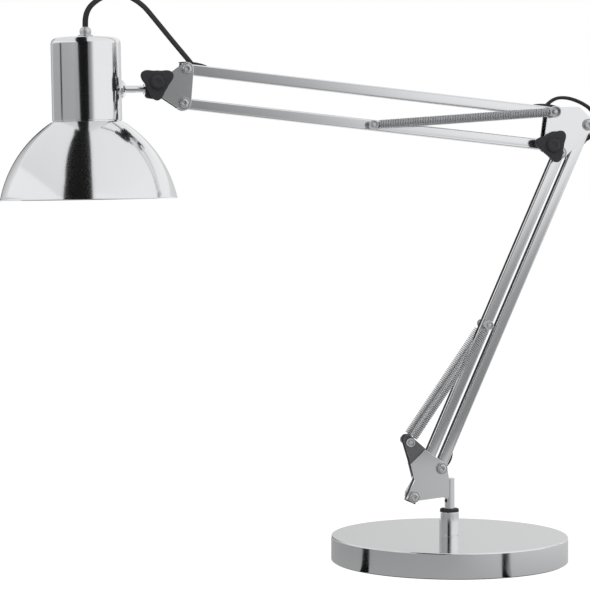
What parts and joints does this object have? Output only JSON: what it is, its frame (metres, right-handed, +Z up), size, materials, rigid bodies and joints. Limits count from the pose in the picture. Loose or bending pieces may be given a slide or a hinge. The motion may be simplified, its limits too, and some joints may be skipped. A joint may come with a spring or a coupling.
{
  "type": "desk lamp",
  "caption": "Chrome balanced-arm desk lamp: bell head, two spring-balanced parallelogram arms of square tube, clamp knobs, round weighted base, black flex.",
  "frame": {"origin": "centre of the underside of the round base, on the table", "axes": "+Z up; the arm plane is XZ with the head toward -X; the front, with the clamp knobs, is toward -Y"},
  "size_m": [0.555, 0.295, 0.5226],
  "materials": {
    "chrome": "bright chrome plate on steel",
    "zinc_steel": "bright zinc plate",
    "dark_steel": "dark oxide",
    "spring_steel": "bright drawn wire",
    "cast_iron": "as cast",
    "felt": "pressed felt",
    "black_nylon": "moulded, satin",
    "black_flex": "soft PVC sheath",
    "opal": "opal"
  },
  "bodies": {
    "base": {"base_cover": "chrome", "base_weight": "cast_iron", "base_pad": "felt", "ferrule": "chrome", "ferrule_bush": "black_nylon", "ferrule_nut": "zinc_steel", "lead_gland": "black_nylon", "lead_run": "black_flex", "lead_coil": "black_flex", "lead_tail": "black_flex", "lead_tie": "black_nylon", "plug_body": "black_nylon", "plug_pins": "zinc_steel"},
    "turret": {"spigot": "chrome", "spigot_saddle": "zinc_steel", "lower_plate_front": "chrome", "lower_plate_back": "chrome", "spring_anchors": "dark_steel", "lower_pivot_bolts": "zinc_steel", "lower_spacers": "black_nylon"},
    "lower_spring_swing": {"lower_spring_eyes": "black_nylon"},
    "lower_spring": {"lower_spring_front": "spring_steel", "lower_spring_back": "spring_steel"},
    "lower_arm": {"bar_right": "chrome", "bar_right_plugs": "black_nylon", "bar_right_grommets": "black_nylon"},
    "lower_link": {"bar_left": "chrome", "bar_left_plug": "black_nylon", "lower_spring_pin": "zinc_steel"},
    "elbow": {"elbow_plate_front": "chrome", "elbow_plate_back": "chrome", "elbow_pivot_bolts": "zinc_steel", "elbow_spacers": "black_nylon", "elbow_spring_pin": "zinc_steel", "elbow_bolt": "zinc_steel", "elbow_flex": "black_flex"},
    "elbow_clamp": {"elbow_knob": "black_nylon"},
    "upper_arm": {"upper_bar_top": "chrome", "upper_bar_top_plugs": "black_nylon", "upper_bar_grommets": "black_nylon"},
    "upper_link": {"upper_bar_low": "chrome", "upper_bar_low_plug": "black_nylon", "upper_spring_pin": "zinc_steel"},
    "upper_spring": {"upper_spring_front": "spring_steel", "upper_spring_back": "spring_steel"},
    "head_bracket": {"head_plate_front": "chrome", "head_plate_back": "chrome", "head_pivot_bolts": "zinc_steel", "head_spacers": "black_nylon", "head_bolt": "zinc_steel", "head_flex": "black_flex"},
    "head_clamp": {"head_knob": "black_nylon"},
    "knuckle": {"knuckle": "black_nylon"},
    "head": {"head_rod": "chrome", "rod_collar": "chrome", "housing": "chrome", "shade": "chrome", "lampholder": "black_nylon", "head_gland": "zinc_steel", "bulb": "opal"}
  },
  "joints": [
    {"name": "base_swivel", "type": "hinge", "parent": "base", "child": "turret", "pos_m": [0, 0, 0.0478], "axis": [0, 0, 1], "range_deg": [-170, 170]},
    {"name": "lower_arm", "type": "hinge", "parent": "turret", "child": "lower_arm", "pos_m": [-0.0094, 0, 0.0869], "axis": [0, -1, 0], "range_deg": [-4, 40]},
    {"name": "lower_link", "type": "hinge", "parent": "turret", "child": "lower_link", "pos_m": [-0.0354, 0, 0.0609], "axis": [0, -1, 0], "range_deg": [-4, 40]},
    {"name": "lower_spring_swing", "type": "hinge", "parent": "turret", "child": "lower_spring_swing", "pos_m": [-0.04, 0, 0.112], "axis": [0, -1, 0], "range_deg": [-5.6, 55.3]},
    {"name": "lower_spring_stretch", "type": "slide", "parent": "lower_spring_swing", "child": "lower_spring", "axis": [0.5647, 0, 0.8253], "range_m": [-0.008, 0.001], "deforming": ["lower_spring_front", "lower_spring_back"]},
    {"name": "elbow_hold", "type": "hinge", "parent": "lower_arm", "child": "elbow", "pos_m": [0.12889, 0, 0.40494], "axis": [0, -1, 0], "range_deg": [-40, 4]},
    {"name": "elbow_knob_turn", "type": "hinge", "parent": "elbow", "child": "elbow_clamp", "pos_m": [0.09219, 0, 0.38564], "axis": [0, -1, 0], "range_deg": [0, 270]},
    {"name": "upper_arm", "type": "hinge", "parent": "elbow", "child": "upper_arm", "pos_m": [0.09499, 0, 0.41654], "axis": [0, -1, 0], "range_deg": [-35, 25], "deforming": ["elbow_flex"]},
    {"name": "upper_link", "type": "hinge", "parent": "elbow", "child": "upper_link", "pos_m": [0.09219, 0, 0.38564], "axis": [0, -1, 0], "range_deg": [-35, 25]},
    {"name": "upper_spring_stretch", "type": "slide", "parent": "upper_link", "child": "upper_spring", "axis": [0.9972, 0, 0.0744], "range_m": [-0.019, 0.0135], "deforming": ["upper_spring_front", "upper_spring_back"]},
    {"name": "head_hold", "type": "hinge", "parent": "upper_arm", "child": "head_bracket", "pos_m": [-0.24551, 0, 0.45353], "axis": [0, -1, 0], "range_deg": [-25, 35]},
    {"name": "head_knob_turn", "type": "hinge", "parent": "head_bracket", "child": "head_clamp", "pos_m": [-0.27361, 0, 0.44083], "axis": [0, -1, 0], "range_deg": [0, 270]},
    {"name": "head_tilt", "type": "hinge", "parent": "head_bracket", "child": "knuckle", "pos_m": [-0.27361, 0, 0.44083], "axis": [0, -1, 0], "range_deg": [-50, 60], "deforming": ["head_flex"]},
    {"name": "head_swivel", "type": "hinge", "parent": "knuckle", "child": "head", "pos_m": [-0.28441, 0, 0.43533], "axis": [-0.9998, 0, -0.0175], "range_deg": [-90, 90]}
  ],
  "couplings": [
    {"joint": "lower_link", "follows": "lower_arm", "ratio": 1},
    {"joint": "elbow_hold", "follows": "lower_arm", "ratio": -1},
    {"joint": "lower_spring_swing", "follows": "lower_arm", "ratio": 1.38},
    {"joint": "lower_spring_stretch", "follows": "lower_arm", "m_per_rad": -0.01117},
    {"joint": "upper_link", "follows": "upper_arm", "ratio": 1},
    {"joint": "head_hold", "follows": "upper_arm", "ratio": -1},
    {"joint": "upper_spring_stretch", "follows": "upper_arm", "m_per_rad": 0.0296}
  ]
}
